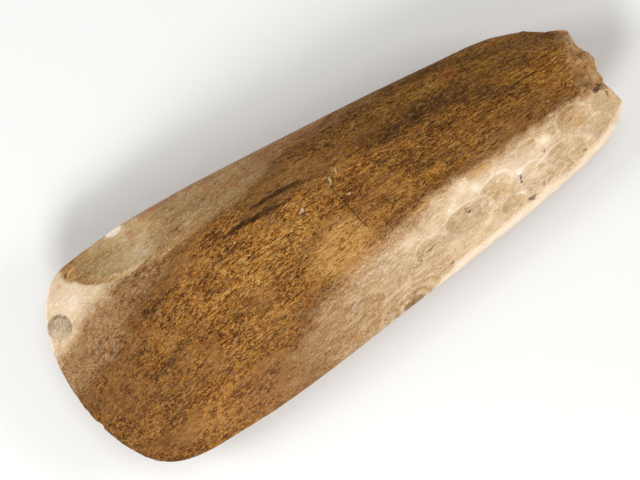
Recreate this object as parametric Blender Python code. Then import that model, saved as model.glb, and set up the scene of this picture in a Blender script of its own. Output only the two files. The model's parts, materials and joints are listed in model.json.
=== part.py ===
"""A polished stone axe head with a broken butt, lying on its underside. Metres, +Z up.

It is one solid of stone. The cutting edge faces -X, the butt +X, and +Y is the left side seen
from above. The body is a skin of rings: the first ring is the curved cutting edge and the last
one closes the butt, and between them every ring has a ground upper face, a plainer belly and a
narrow facet along each side. Old flake scars are pressed softly into the skin, because grinding
has smoothed them. The crisp ones, the grooves and the break at the butt are cut out of it.

Along the axe, places are shares of the way from edge to butt. Across it they are shares of the
half width, + to the left.
"""

import math

import bmesh
import bpy
from mathutils import Matrix, Vector

# Driving dimensions of the whole stone
STONE_LENGTH = 0.180  # from the front of the cutting edge to the end of the broken butt
BLADE_WIDTH = 0.0702  # the widest place, behind the cutting edge
NOSE_LENGTH = 0.0378  # from the front of the edge back to the widest place
BUTT_TAPER = 0.0158  # how far each side has drawn in at the butt, before its rounding
BUTT_ROUND_LENGTH = 0.0440  # the rounded last stretch of the unbroken butt
CREST_HEIGHT = 0.0200  # the upper face above the middle plane
BELLY_DEPTH = 0.0165  # the underside below the middle plane
EDGE_THICKNESS = 0.0008  # the worn cutting edge
EDGE_LEAD = 0.0010  # the edge's left half stands this much further forward than its right
SIDE_FACET_HEIGHT = 0.0075  # the narrow facets along both sides, at mid length
RIGHT_FACET_REACH = 0.0021  # how far the right side facet shows from above
LEFT_FACET_REACH = 0.0011
REST_FLAT_DEPTH = 0.0008  # what the small flat takes off the belly, so that it lies still

# The stone before it broke, and the skin, which runs a little past the break
UNBROKEN_LENGTH = 1.033 * STONE_LENGTH
ROUND_START = UNBROKEN_LENGTH - BUTT_ROUND_LENGTH
SKIN_LENGTH = ROUND_START + 0.93 * BUTT_ROUND_LENGTH

# Shares and exponents of the free form
NOSE_POWER = 4.0
NOSE_CORNER = 0.30
TAPER_POWER = 1.32
BUTT_POWER = 4.0
THICKEST_AT = 0.48
EDGE_FULLNESS = 0.80
BUTT_THINNING = 0.36
RIDGE_AT_MIDDLE = -0.36
RIDGE_AT_BUTT = -0.14
FACE_FALL = 0.27
LEFT_SLOPE = 2.3
RIDGE_SOFTNESS = 0.10
ROUNDING_LOSS = 0.35  # what the rounding takes off the ridge, for each unit of softness
DOME_POWER = 2.7
BELLY_POWER = 2.9
FACETS_BEGIN = 0.10
FACETS_FULL = 0.42

# How finely the skin is divided
RING_COUNT = 50
FACE_SEGMENTS = 30
SIDE_STEPS = (0.45, 0.0, -0.45)  # heights on a side facet, as shares of its half height

# Ground-over flake scars, pressed softly into the skin: along, across, length, width, depth and
# turn in degrees. The first ones are on the facet right of the ridge.
UPPER_HOLLOWS = {
    "scar_end": (0.851, -0.80, 0.0230, 0.0120, 0.0009, 8),
    "scar_round": (0.793, -0.74, 0.0140, 0.0120, 0.0008, 0),
    "scar_middle": (0.735, -0.55, 0.0150, 0.0110, 0.0007, 12),
    "scar_ridge": (0.695, -0.38, 0.0150, 0.0100, 0.0005, 0),
    "scar_low": (0.650, -0.76, 0.0210, 0.0130, 0.0008, 4),
    "scar_butt": (0.904, -0.50, 0.0170, 0.0120, 0.0008, -20),
    "side_eye": (0.500, -0.92, 0.0150, 0.0090, 0.0010, 6),
    "face_dip": (0.612, 0.22, 0.0500, 0.0260, 0.0005, 0),
}
BELLY_HOLLOWS = {
    "belly_right": (0.27, -0.66, 0.0300, 0.0160, 0.0010, 10),
    "belly_left": (0.66, 0.64, 0.0260, 0.0150, 0.0010, -12),
    "belly_butt": (0.86, -0.10, 0.0220, 0.0150, 0.0011, 30),
    "belly_blade": (0.12, 0.35, 0.0210, 0.0150, 0.0007, 0),
}

# Crisp scars, cut with an ellipsoid that dips into the upper face, in the same numbers
CRISP_SCARS = {
    "blade_corner_scar": (0.155, 0.87, 0.0345, 0.0225, 0.0019, 0),
    "blade_round_flake": (0.027, 0.56, 0.0076, 0.0074, 0.0004, 0),
    "long_groove": (0.384, 0.486, 0.0235, 0.0018, 0.0008, -1),
    "upper_groove": (0.431, 0.592, 0.0185, 0.0013, 0.0005, -1),
}
SCAR_BALL_SHARE = 4.0  # a scar's ellipsoid is this many times as tall as the scar is deep
CUTTER_SAG = 0.0001  # how far a cutter's facets may stay inside its true ellipsoid

# The break at the butt and the other places where a piece is gone. Each is an ellipsoid: centre
# in shares of the stone's length, the half blade width and the crest, then three radii in shares
# of the length, and a turn about Z in degrees.
BREAKS = {
    "break_face": ((1.9678, 0.882, -0.30), (1.0000, 1.0000, 0.5000), 0),
    "break_hollow": ((1.0740, 0.100, 1.00), (0.1110, 0.1110, 0.1110), 0),
    "break_pit": ((0.9760, -0.140, 0.66), (0.0190, 0.0080, 0.0160), 8),
    "break_notch": ((0.9965, -0.165, 0.75), (0.0085, 0.0110, 0.0550), -10),
    "shoulder_chip": ((1.0383, 1.205, 0.10), (0.1667, 0.1667, 0.1667), 0),
    "edge_nick": ((0.0090, -0.365, 0.00), (0.0045, 0.0060, 0.0300), 0),
}

STONE_COLOUR = (0.285, 0.130, 0.042, 1.0)
STONE_ROUGHNESS = 0.55


def mix(low, high, share):
    return low + (high - low) * share


def smooth_step(low, high, value):
    share = min(max((value - low) / (high - low), 0.0), 1.0)
    return share * share * (3.0 - 2.0 * share)


def smooth_min(values, softness):
    """The least of the values, with the corners between them rounded."""
    return -softness * math.log(sum(math.exp(-value / softness) for value in values))


def half_width(x):
    """Half the plan's width at a distance from the front of the edge."""
    nose = 1.0 - max(1.0 - x / NOSE_LENGTH, 0.0) ** NOSE_POWER
    run = max(x - NOSE_LENGTH, 0.0) / (UNBROKEN_LENGTH - NOSE_LENGTH)
    side = BLADE_WIDTH / 2.0 - BUTT_TAPER * run**TAPER_POWER
    rounding = max(x - ROUND_START, 0.0) / BUTT_ROUND_LENGTH
    return side * math.sqrt(nose * (1.0 - rounding**BUTT_POWER))


def edge_x(across):
    """How far the cutting edge lies behind its front, out to the nose's two corners."""
    corner = half_width(NOSE_CORNER * NOSE_LENGTH) / (BLADE_WIDTH / 2.0)
    out = across * corner
    return NOSE_LENGTH * (1.0 - (1.0 - out * out) ** (1.0 / NOSE_POWER)) - EDGE_LEAD * out


def plan_half_width(along):
    return half_width(mix(NOSE_CORNER * NOSE_LENGTH, SKIN_LENGTH, along))


def plan_point(along, across):
    return mix(edge_x(across), SKIN_LENGTH, along), across * plan_half_width(along)


def thickness_share(along):
    """The long profile, from nothing at the edge to 1 at the thickest place."""
    rise = 1.0 - max(1.0 - along / THICKEST_AT, 0.0) ** 2
    fall = max(along - THICKEST_AT, 0.0) / (1.0 - THICKEST_AT)
    return rise**EDGE_FULLNESS * (1.0 - BUTT_THINNING * fall**2)


def upper_section(along, across):
    """The upper face's height across a ring: 0 at its sides and about 1 at its ridge."""
    ridge = mix(RIDGE_AT_MIDDLE, RIDGE_AT_BUTT, smooth_step(FACETS_FULL, 1.0, along))
    right_facet = (1.0 + across) / (1.0 + ridge)
    broad_face = 1.0 - FACE_FALL * (across - ridge) / (1.0 - ridge)
    left_slope = LEFT_SLOPE * (1.0 - across)
    crest = 1.0 - ROUNDING_LOSS * RIDGE_SOFTNESS
    faceted = smooth_min((right_facet, broad_face, left_slope), RIDGE_SOFTNESS) / crest
    domed = 1.0 - abs(across) ** DOME_POWER
    return mix(domed, max(faceted, 0.0), smooth_step(FACETS_BEGIN, FACETS_FULL, along))


def hollow_depth(along, across, hollows):
    """How far the soft scars press the skin in at a place."""
    deep = 0.0
    for at_along, at_across, length, width, depth, turn in hollows.values():
        ahead = (along - at_along) * STONE_LENGTH
        aside = (across - at_across) * plan_half_width(along)
        angle = math.radians(turn)
        lengthwise = (ahead * math.cos(angle) + aside * math.sin(angle)) * 2.0 / length
        widthwise = (aside * math.cos(angle) - ahead * math.sin(angle)) * 2.0 / width
        deep += depth * max(1.0 - lengthwise**2 - widthwise**2, 0.0) ** 2
    return deep


def side_half_height(along):
    at_edge = EDGE_THICKNESS / 2.0
    return at_edge + smooth_step(0.0, FACETS_FULL, along) * (SIDE_FACET_HEIGHT / 2.0 - at_edge)


def skin_point(along, across, upper):
    """A point of the upper face or the belly, inside the side facets."""
    reach = LEFT_FACET_REACH if across > 0.0 else RIGHT_FACET_REACH
    reach = EDGE_THICKNESS / 2.0 + smooth_step(0.0, FACETS_FULL, along) * reach
    inner = 1.0 - reach / plan_half_width(along)
    x, y = plan_point(along, across * inner)
    base = side_half_height(along)
    if upper:
        rise = (CREST_HEIGHT - base) * thickness_share(along) * upper_section(along, across)
        return Vector((x, y, base + rise - hollow_depth(along, across, UPPER_HOLLOWS)))
    fall = (BELLY_DEPTH - base) * thickness_share(along) * (1.0 - abs(across) ** BELLY_POWER)
    return Vector((x, y, hollow_depth(along, across, BELLY_HOLLOWS) - base - fall))


def side_points(along, side):
    """The outermost points of a ring on one side, from the upper face to the belly."""
    inner = abs(skin_point(along, side, True).y)
    x, outer = plan_point(along, side)
    for step in SIDE_STEPS:
        y = side * mix(abs(outer), inner, step * step)
        yield Vector((x, y, step * side_half_height(along)))


def ring_points(along):
    """One closed ring: the upper face from right to left, down the left side, and back."""
    turns = [math.pi * (i / FACE_SEGMENTS - 0.5) for i in range(FACE_SEGMENTS + 1)]
    spread = [mix(math.sin(turn), 2.0 * turn / math.pi, 0.55) for turn in turns]
    ring = [skin_point(along, across, True) for across in spread]
    ring += side_points(along, 1.0)
    ring += [skin_point(along, across, False) for across in reversed(spread)]
    ring += reversed(list(side_points(along, -1.0)))
    return ring


def station(index):
    """The rings stand closer together near the edge and near the butt."""
    share = index / (RING_COUNT - 1)
    return mix(share, 0.5 - 0.5 * math.cos(math.pi * share), 0.45)


def close_ring(bm, ring):
    """Covers the opening of an end ring with a ladder of faces."""
    left, right = FACE_SEGMENTS, FACE_SEGMENTS + 4
    while left > 0:
        bm.faces.new((ring[left], ring[left - 1], ring[right + 1], ring[right]))
        left -= 1
        right += 1
    bm.faces.new(ring[FACE_SEGMENTS : FACE_SEGMENTS + 5])
    bm.faces.new([ring[0], *reversed(ring[right:])])


def build_body(material):
    bm = bmesh.new()
    rings = [[bm.verts.new(p) for p in ring_points(station(i))] for i in range(RING_COUNT)]
    for ring, following in zip(rings, rings[1:]):
        for i in range(len(ring)):
            j = (i + 1) % len(ring)
            bm.faces.new((ring[i], ring[j], following[j], following[i]))
    close_ring(bm, rings[0])
    close_ring(bm, rings[-1])
    bmesh.ops.recalc_face_normals(bm, faces=bm.faces)
    mesh = bpy.data.meshes.new("axe_head")
    bm.to_mesh(mesh)
    bm.free()
    mesh.shade_smooth()
    mesh.materials.append(material)
    body = bpy.data.objects.new("axe_head", mesh)
    bpy.context.scene.collection.objects.link(body)
    return body


def cut(body, name, bm):
    """Takes the shape in bm out of the body, with a hidden cutter."""
    mesh = bpy.data.meshes.new(name)
    bm.to_mesh(mesh)
    bm.free()
    mesh.shade_smooth()
    cutter = bpy.data.objects.new(name, mesh)
    cutter.hide_render = True
    cutter.display_type = "WIRE"
    cutter.parent = body
    bpy.context.scene.collection.objects.link(cutter)
    boolean = body.modifiers.new(name, "BOOLEAN")
    boolean.operation = "DIFFERENCE"
    boolean.object = cutter


def cut_ellipsoid(body, name, place, radii):
    segments = max(round(math.pi * math.sqrt(max(radii) / (2.0 * CUTTER_SAG))), 14)
    bm = bmesh.new()
    bmesh.ops.create_uvsphere(bm, u_segments=segments, v_segments=segments * 3 // 4, radius=1.0)
    bmesh.ops.scale(bm, vec=radii, verts=bm.verts)
    bmesh.ops.transform(bm, matrix=place, verts=bm.verts)
    cut(body, name, bm)


def face_frame(along, across):
    """A frame on the upper face: X towards the butt, Z straight out of the stone."""
    here = skin_point(along, across, True)
    towards_butt = skin_point(along + 0.01, across, True) - here
    towards_left = here - skin_point(along, across - 0.01, True)
    outwards = towards_butt.cross(towards_left).normalized()
    forwards = towards_butt.normalized()
    frame = Matrix((forwards, outwards.cross(forwards), outwards)).transposed().to_4x4()
    frame.translation = here
    return frame


def cut_scar(body, name, along, across, length, width, depth, turn):
    height = SCAR_BALL_SHARE * depth
    narrowing = math.sqrt(1.0 - ((height - depth) / height) ** 2)
    radii = (length / 2.0 / narrowing, width / 2.0 / narrowing, height)
    lift = Matrix.Translation((0.0, 0.0, height - depth))
    spin = Matrix.Rotation(math.radians(turn), 4, "Z")
    cut_ellipsoid(body, name, face_frame(along, across) @ spin @ lift, radii)


def cut_break(body, name, centre, radii, turn):
    units = (STONE_LENGTH, BLADE_WIDTH / 2.0, CREST_HEIGHT)
    place = Matrix.Translation([share * unit for share, unit in zip(centre, units)])
    spin = Matrix.Rotation(math.radians(turn), 4, "Z")
    cut_ellipsoid(body, name, place @ spin, [share * STONE_LENGTH for share in radii])


def cut_rest_flat(body):
    """A small flat on the belly, for the stone to lie on."""
    size = (2.0 * STONE_LENGTH, 2.0 * BLADE_WIDTH, BELLY_DEPTH)
    middle = (STONE_LENGTH / 2.0, 0.0, REST_FLAT_DEPTH - 1.5 * BELLY_DEPTH)
    bm = bmesh.new()
    bmesh.ops.create_cube(bm, size=1.0)
    bmesh.ops.scale(bm, vec=size, verts=bm.verts)
    bmesh.ops.translate(bm, vec=middle, verts=bm.verts)
    cut(body, "rest_flat", bm)


def seat_at_origin(body):
    """Puts the origin under the middle of the stone, at the flat that it lies on."""
    graph = bpy.context.evaluated_depsgraph_get()
    corners = [Vector(corner) for corner in body.evaluated_get(graph).bound_box]
    low = [min(corner[i] for corner in corners) for i in range(3)]
    high = [max(corner[i] for corner in corners) for i in range(3)]
    body.location = (-(low[0] + high[0]) / 2.0, -(low[1] + high[1]) / 2.0, -low[2])


def stone_material():
    material = bpy.data.materials.new("weathered_stone")
    material.use_nodes = True
    shader = material.node_tree.nodes["Principled BSDF"]
    shader.inputs["Base Color"].default_value = STONE_COLOUR
    shader.inputs["Roughness"].default_value = STONE_ROUGHNESS
    shader.inputs["Metallic"].default_value = 0.0
    return material


def main():
    for old in list(bpy.data.objects):
        bpy.data.objects.remove(old)
    body = build_body(stone_material())
    for name, scar in CRISP_SCARS.items():
        cut_scar(body, name, *scar)
    for name, (centre, radii, turn) in BREAKS.items():
        cut_break(body, name, centre, radii, turn)
    cut_rest_flat(body)
    seat_at_origin(body)


main()
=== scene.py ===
"""The looks of a polished stone axe head that lies on a pale floor.

One piece, stone_skin, stands for the part's axe_head. It is the same skin of rings, drawn finer,
with the worn and pitted relief, the crisp scars and the broken butt. Its material is made of
nodes. Which kind of surface shows where (cream polish, rough brown crust, fresh break and so on)
is worked out here for each point and kept on the mesh as zones.

Places on the stone are in millimetres: u from the front of the cutting edge towards the butt,
v from the middle line, + to the left. The part's own numbers are in metres, as in the frame.
"""

import json
import math
from types import SimpleNamespace

import bpy
import numpy as np
from mathutils import Matrix, Vector, noise

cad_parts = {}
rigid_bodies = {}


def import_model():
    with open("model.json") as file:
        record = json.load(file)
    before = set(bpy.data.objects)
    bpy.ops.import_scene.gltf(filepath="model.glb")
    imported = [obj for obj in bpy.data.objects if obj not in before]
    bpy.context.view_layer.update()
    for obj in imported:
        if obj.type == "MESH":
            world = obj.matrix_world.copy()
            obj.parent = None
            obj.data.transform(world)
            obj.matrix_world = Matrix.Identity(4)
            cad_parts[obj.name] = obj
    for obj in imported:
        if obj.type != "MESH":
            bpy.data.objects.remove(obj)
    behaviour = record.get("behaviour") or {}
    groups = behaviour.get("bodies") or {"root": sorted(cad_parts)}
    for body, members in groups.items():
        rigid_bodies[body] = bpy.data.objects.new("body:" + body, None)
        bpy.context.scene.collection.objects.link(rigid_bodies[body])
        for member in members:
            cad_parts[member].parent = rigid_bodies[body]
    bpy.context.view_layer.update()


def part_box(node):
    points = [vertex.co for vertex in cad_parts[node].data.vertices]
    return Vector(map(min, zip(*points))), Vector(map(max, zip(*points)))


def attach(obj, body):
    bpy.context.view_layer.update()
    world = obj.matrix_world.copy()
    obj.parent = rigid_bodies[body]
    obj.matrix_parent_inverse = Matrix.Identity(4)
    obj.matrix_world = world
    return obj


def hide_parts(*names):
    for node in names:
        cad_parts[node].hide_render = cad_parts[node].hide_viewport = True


# The part's own dimensions, in metres
STONE_LENGTH = 0.180
BLADE_WIDTH = 0.0702
NOSE_LENGTH = 0.0378
BUTT_TAPER = 0.0158
BUTT_ROUND_LENGTH = 0.0440
CREST_HEIGHT = 0.0200
BELLY_DEPTH = 0.0165
EDGE_THICKNESS = 0.0008
EDGE_LEAD = 0.0010
SIDE_FACET_HEIGHT = 0.0075
RIGHT_FACET_REACH = 0.0021
LEFT_FACET_REACH = 0.0011
REST_FLAT_DEPTH = 0.0008
UNBROKEN_LENGTH = 1.033 * STONE_LENGTH
ROUND_START = UNBROKEN_LENGTH - BUTT_ROUND_LENGTH
SKIN_LENGTH = ROUND_START + 0.93 * BUTT_ROUND_LENGTH

# The part's shares and exponents
NOSE_POWER = 4.0
NOSE_CORNER = 0.30
TAPER_POWER = 1.32
BUTT_POWER = 4.0
THICKEST_AT = 0.48
EDGE_FULLNESS = 0.80
BUTT_THINNING = 0.36
RIDGE_AT_MIDDLE = -0.36
RIDGE_AT_BUTT = -0.14
FACE_FALL = 0.27
LEFT_SLOPE = 2.3
RIDGE_SOFTNESS = 0.10
ROUNDING_LOSS = 0.35
DOME_POWER = 2.7
BELLY_POWER = 2.9
FACETS_BEGIN = 0.10
FACETS_FULL = 0.42

# How finely the skin is divided
RINGS = 390
UPPER_SEGMENTS = 160
BELLY_SEGMENTS = 50
SIDE_STEPS = np.linspace(0.8, -0.8, 7)
EVENNESS = 0.72  # at 1 the segments are even, at 0 they crowd at the sides
CROWDING = 0.30  # at 0 the rings are even, at 1 they crowd at both ends

# Ground-over flake scars: along, across, length, width, depth in metres, turn in degrees
UPPER_HOLLOWS = (
    (0.851, -0.80, 0.0230, 0.0120, 0.0009, 8),
    (0.793, -0.74, 0.0140, 0.0120, 0.0008, 0),
    (0.735, -0.55, 0.0150, 0.0110, 0.0007, 12),
    (0.695, -0.38, 0.0150, 0.0100, 0.0005, 0),
    (0.650, -0.76, 0.0210, 0.0130, 0.0008, 4),
    (0.904, -0.50, 0.0170, 0.0120, 0.0008, -20),
    (0.500, -0.92, 0.0150, 0.0090, 0.0010, 6),
    (0.612, 0.22, 0.0500, 0.0260, 0.0005, 0),
)
BELLY_HOLLOWS = (
    (0.27, -0.66, 0.0300, 0.0160, 0.0010, 10),
    (0.66, 0.64, 0.0260, 0.0150, 0.0010, -12),
    (0.86, -0.10, 0.0220, 0.0150, 0.0011, 30),
    (0.12, 0.35, 0.0210, 0.0150, 0.0007, 0),
)


def mix(low, high, share):
    return low + (high - low) * share


def fade(low, high, value):
    """0 before low, 1 past high, and a smooth rise between them; low may be the larger."""
    share = np.clip((value - low) / (high - low), 0, 1)
    return share * share * (3 - 2 * share)


def smooth_min(values, softness):
    return -softness * np.log(sum(np.exp(-value / softness) for value in values))


# The skin of the part, for whole arrays of places


def half_width(x):
    nose = 1 - np.maximum(1 - x / NOSE_LENGTH, 0) ** NOSE_POWER
    run = np.maximum(x - NOSE_LENGTH, 0) / (UNBROKEN_LENGTH - NOSE_LENGTH)
    side = BLADE_WIDTH / 2 - BUTT_TAPER * run**TAPER_POWER
    rounding = np.maximum(x - ROUND_START, 0) / BUTT_ROUND_LENGTH
    return side * np.sqrt(np.maximum(nose * (1 - rounding**BUTT_POWER), 0))


def edge_x(across):
    out = across * half_width(NOSE_CORNER * NOSE_LENGTH) / (BLADE_WIDTH / 2)
    return NOSE_LENGTH * (1 - (1 - out * out) ** (1 / NOSE_POWER)) - EDGE_LEAD * out


def plan_half_width(along):
    return half_width(mix(NOSE_CORNER * NOSE_LENGTH, SKIN_LENGTH, along))


def plan_point(along, across):
    return mix(edge_x(across), SKIN_LENGTH, along), across * plan_half_width(along)


def thickness_share(along):
    rise = 1 - np.maximum(1 - along / THICKEST_AT, 0) ** 2
    fall = np.maximum(along - THICKEST_AT, 0) / (1 - THICKEST_AT)
    return rise**EDGE_FULLNESS * (1 - BUTT_THINNING * fall**2)


def upper_section(along, across):
    ridge = mix(RIDGE_AT_MIDDLE, RIDGE_AT_BUTT, fade(FACETS_FULL, 1, along))
    right_facet = (1 + across) / (1 + ridge)
    broad_face = 1 - FACE_FALL * (across - ridge) / (1 - ridge)
    left_slope = LEFT_SLOPE * (1 - across)
    crest = 1 - ROUNDING_LOSS * RIDGE_SOFTNESS
    faceted = smooth_min((right_facet, broad_face, left_slope), RIDGE_SOFTNESS) / crest
    domed = 1 - np.abs(across) ** DOME_POWER
    return mix(domed, np.maximum(faceted, 0), fade(FACETS_BEGIN, FACETS_FULL, along))


def hollow_depth(along, across, hollows):
    deep = 0
    for at_along, at_across, length, width, depth, turn in hollows:
        ahead = (along - at_along) * STONE_LENGTH
        aside = (across - at_across) * plan_half_width(along)
        angle = math.radians(turn)
        lengthwise = (ahead * math.cos(angle) + aside * math.sin(angle)) * 2 / length
        widthwise = (aside * math.cos(angle) - ahead * math.sin(angle)) * 2 / width
        deep = deep + depth * np.maximum(1 - lengthwise**2 - widthwise**2, 0) ** 2
    return deep


def side_half_height(along):
    at_edge = EDGE_THICKNESS / 2
    return at_edge + fade(0, FACETS_FULL, along) * (SIDE_FACET_HEIGHT / 2 - at_edge)


def skin_points(along, across, upper):
    reach = np.where(across > 0, LEFT_FACET_REACH, RIGHT_FACET_REACH)
    reach = EDGE_THICKNESS / 2 + fade(0, FACETS_FULL, along) * reach
    inner = 1 - reach / plan_half_width(along)
    x, y = plan_point(along, across * inner)
    base = side_half_height(along)
    if upper:
        rise = (CREST_HEIGHT - base) * thickness_share(along) * upper_section(along, across)
        z = base + rise - hollow_depth(along, across, UPPER_HOLLOWS)
    else:
        fall = (BELLY_DEPTH - base) * thickness_share(along) * (1 - np.abs(across) ** BELLY_POWER)
        z = hollow_depth(along, across, BELLY_HOLLOWS) - base - fall
    return np.stack(np.broadcast_arrays(x, y, z), axis=-1)


def side_points(along, side):
    inner = np.abs(skin_points(along, np.full_like(along, side), True)[..., 1])
    x, outer = plan_point(along, side)
    y = side * mix(np.abs(outer), inner, SIDE_STEPS[None, :] ** 2)
    z = SIDE_STEPS[None, :] * side_half_height(along)
    return np.stack(np.broadcast_arrays(x, y, z), axis=-1)


def spread(segments):
    turns = math.pi * (np.arange(segments + 1) / segments - 0.5)
    return mix(np.sin(turns), 2 * turns / math.pi, EVENNESS)[None, :]


def skin_grid():
    """All rings of the skin: rings by points by three, and the faces between them."""
    share = np.linspace(0, 1, RINGS)
    along = mix(share, 0.5 - 0.5 * np.cos(math.pi * share), CROWDING)[:, None]
    upper, lower = spread(UPPER_SEGMENTS), spread(BELLY_SEGMENTS)
    parts = [
        skin_points(along, upper, True),
        side_points(along, 1),
        skin_points(along, lower[:, ::-1], False),
        side_points(along, -1)[:, ::-1],
    ]
    grid = np.concatenate(parts, axis=1)
    count = grid.shape[1]
    start = np.arange(RINGS - 1)[:, None] * count
    here = np.arange(count)[None, :]
    after = (here + 1) % count
    quads = np.stack([start + here, start + count + here, start + count + after, start + after], -1)
    faces = quads.reshape(-1, 4).tolist()
    faces += end_faces(0, count, upper[0], lower[0])
    faces += [face[::-1] for face in end_faces((RINGS - 1) * count, count, upper[0], lower[0])]
    return grid.reshape(-1, 3), faces


def end_faces(first, count, upper, lower):
    """Closes an end ring: a strip between its upper and its lower line."""
    sides = len(SIDE_STEPS)
    top = [first + i for i in range(UPPER_SEGMENTS + 1)]
    bottom_start = first + UPPER_SEGMENTS + 1 + sides
    bottom = [bottom_start + BELLY_SEGMENTS - i for i in range(BELLY_SEGMENTS + 1)]
    faces = []
    i = j = 0
    while i < UPPER_SEGMENTS or j < BELLY_SEGMENTS:
        next_top = upper[i + 1] if i < UPPER_SEGMENTS else math.inf
        next_bottom = lower[j + 1] if j < BELLY_SEGMENTS else math.inf
        if next_top <= next_bottom:
            faces.append([top[i], top[i + 1], bottom[j]])
            i += 1
        else:
            faces.append([top[i], bottom[j + 1], bottom[j]])
            j += 1
    faces.append(list(range(top[-1], bottom[-1] + 1)))
    faces.append(list(range(bottom[0], first + count)) + [top[0]])
    return faces


def write_mesh(name, points, faces):
    mesh = bpy.data.meshes.new(name)
    mesh.from_pydata(points.tolist(), [], faces)
    mesh.update()
    return mesh


def read_points(mesh, what="co"):
    values = np.empty(len(mesh.vertices) * 3, np.float32)
    if what == "co":
        mesh.vertices.foreach_get("co", values)
    else:
        mesh.vertex_normals.foreach_get("vector", values)
    return values.reshape(-1, 3).astype(float)


def move_points(mesh, points):
    mesh.vertices.foreach_set("co", points.astype(np.float32).ravel())
    mesh.update()


# Noise and shapes over many points

# The grain's rise to the left in mm at u is GRAIN_CLIMB * u - GRAIN_BEND * u * u
GRAIN_CLIMB = 0.24
GRAIN_BEND = 0.0006


def clouds(places, scale, octaves=4, seed=0, lacunarity=2.1, gain=0.55):
    """Fractal noise, about -1 to 1, at places in millimetres. scale is per axis, in 1/mm."""
    q = places * np.asarray(scale) + np.array([17.3, 5.1, 9.7]) * (seed + 1)
    total = np.zeros(len(q))
    amplitude = 1
    for octave in range(octaves):
        total += amplitude * np.array([noise.noise(p) for p in q.tolist()])
        q = q * lacunarity + 3.7
        amplitude *= gain
    return total


def straightened(places):
    """The places with the grain of the crust made straight, along the first axis.

    The grain climbs to the left from the blade towards the butt, and draws in with the outline.
    """
    u, v, z = places.T
    run = np.clip((u / 1000 - NOSE_LENGTH) / (UNBROKEN_LENGTH - NOSE_LENGTH), 0, 1)
    narrowing = 1 - BUTT_TAPER / (BLADE_WIDTH / 2) * run**TAPER_POWER
    climb = GRAIN_CLIMB * u - GRAIN_BEND * u * u
    return np.stack([u, v / narrowing - climb, z], axis=-1)


def oval(u, v, at, size, turn=0.0):
    """Distance from the middle of an oval, 1 on its outline. size is its length and width."""
    angle = math.radians(turn)
    du, dv = u - at[0], v - at[1]
    a = (du * math.cos(angle) + dv * math.sin(angle)) * 2 / size[0]
    b = (dv * math.cos(angle) - du * math.sin(angle)) * 2 / size[1]
    return np.sqrt(a * a + b * b)


def along_line(u, v, line):
    """Distance in mm from a line of points, the side it is on (+ left) and the share along it."""
    best = np.full(u.shape, 1e9)
    side = np.zeros(u.shape)
    share = np.zeros(u.shape)
    pieces = len(line) - 1
    for i in range(pieces):
        (u0, v0), (u1, v1) = line[i], line[i + 1]
        du, dv = u1 - u0, v1 - v0
        t = np.clip(((u - u0) * du + (v - v0) * dv) / (du * du + dv * dv), 0, 1)
        away = np.hypot(u - u0 - t * du, v - v0 - t * dv)
        nearer = away < best
        best = np.where(nearer, away, best)
        side = np.where(nearer, np.sign(du * (v - v0) - dv * (u - u0)), side)
        share = np.where(nearer, (i + t) / pieces, share)
    return best, side, share


def bump_at(u, v, at_u, at_v, radius_u, radius_v):
    """1 at a place, and less and less around it."""
    return np.exp(-(((u - at_u) / radius_u) ** 2) - ((v - at_v) / radius_v) ** 2)


def tapered(share):
    """1 in the middle of a line and 0 at its ends."""
    return np.sqrt(np.maximum(1 - (2 * share - 1) ** 2, 0))


def column(rows, u, which):
    """A value of a table of rows, read between its rows at u, the rows' first value."""
    table = np.array(rows)
    return np.interp(u, table[:, 0], table[:, which])


# Features of the upper face, in mm

# The cream facet right of the ridge: u, v of its border, width of the fade, how cream it is
FACET_EDGE = (
    (30, -30, 14, 0.08), (43, -25, 15, 0.18), (60, -18.6, 16, 0.31),
    (73, -13.4, 15, 0.42), (85, -10.2, 14, 0.53), (99, -8.2, 13, 0.66),
    (112, -7, 12, 0.75), (125, -5.8, 11, 0.8), (140, -5.4, 11, 0.8),
    (151, -4.6, 12, 0.8), (165, -4.2, 10, 0.75), (182, -4.2, 7, 0.7),
)
# The cream polish at the left corner of the blade
CORNER_EDGE = (
    (-2, 8.6, 10, 0.84), (4, 10.2, 12, 0.89), (9, 12.8, 13, 0.92), (17, 16.8, 12.5, 0.94),
    (22, 18.2, 11, 0.86), (28, 19.2, 9, 0.77), (33, 20, 7, 0.66), (41, 21.5, 6, 0.46),
    (52, 25, 5, 0.3),
)
# The thin smooth film that the cream fades into
FILM_EDGE = (
    (-2, -5, 12, 0.34), (8, -2.5, 13, 0.36), (17, 2.5, 13, 0.38), (28, 8, 13, 0.36),
    (38, 12.5, 10, 0.34), (48, 17, 8, 0.32), (58, 20, 6, 0.26), (66, 21, 6, 0),
)
# The smoother strip along the left side
STRIP_EDGE = (
    (34, 19, 6, 0.4), (44, 18.6, 5, 0.48), (57, 20.4, 6, 0.5), (73, 21.6, 6, 0.44),
    (85, 23.6, 7, 0.34), (99, 25, 8, 0.24), (112, 26.5, 8, 0.16), (128, 27, 7, 0.06),
)
CORNER_SCAR = ((33.5, 31.5), (34.5, 21))
CORNER_CHIP = ((34.6, 33.9), (5.6, 2.4), 3)
OLIVE_PATCH = ((17.2, 30.6), (5, 6.6), -10)
GOLD_PATCH = ((89.5, -4.4), (34, 17), 9)
STAIN = ((6.8, 18.4), (7.8, 7.6))
WORN_SIDE = ((45, -28), (62, 20))
# Golden patches on the cream facet: middle, length and width, turn
GOLD_SPOTS = (
    ((135.2, -14), (9.4, 6), 12), ((132.8, -8), (9, 4.6), 6), ((164.6, -9.8), (9, 7), -16),
    ((178.4, -9.4), (7, 8.4), 0), ((138, -3), (12, 3), 0), ((112, -6.5), (14, 3), 4),
)
# The low step across the crust
STEP_LINE = ((95.6, 13.8), (94.5, 11.5), (96, 3.7), (96.8, -1.4), (97.7, -4.4))
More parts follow.
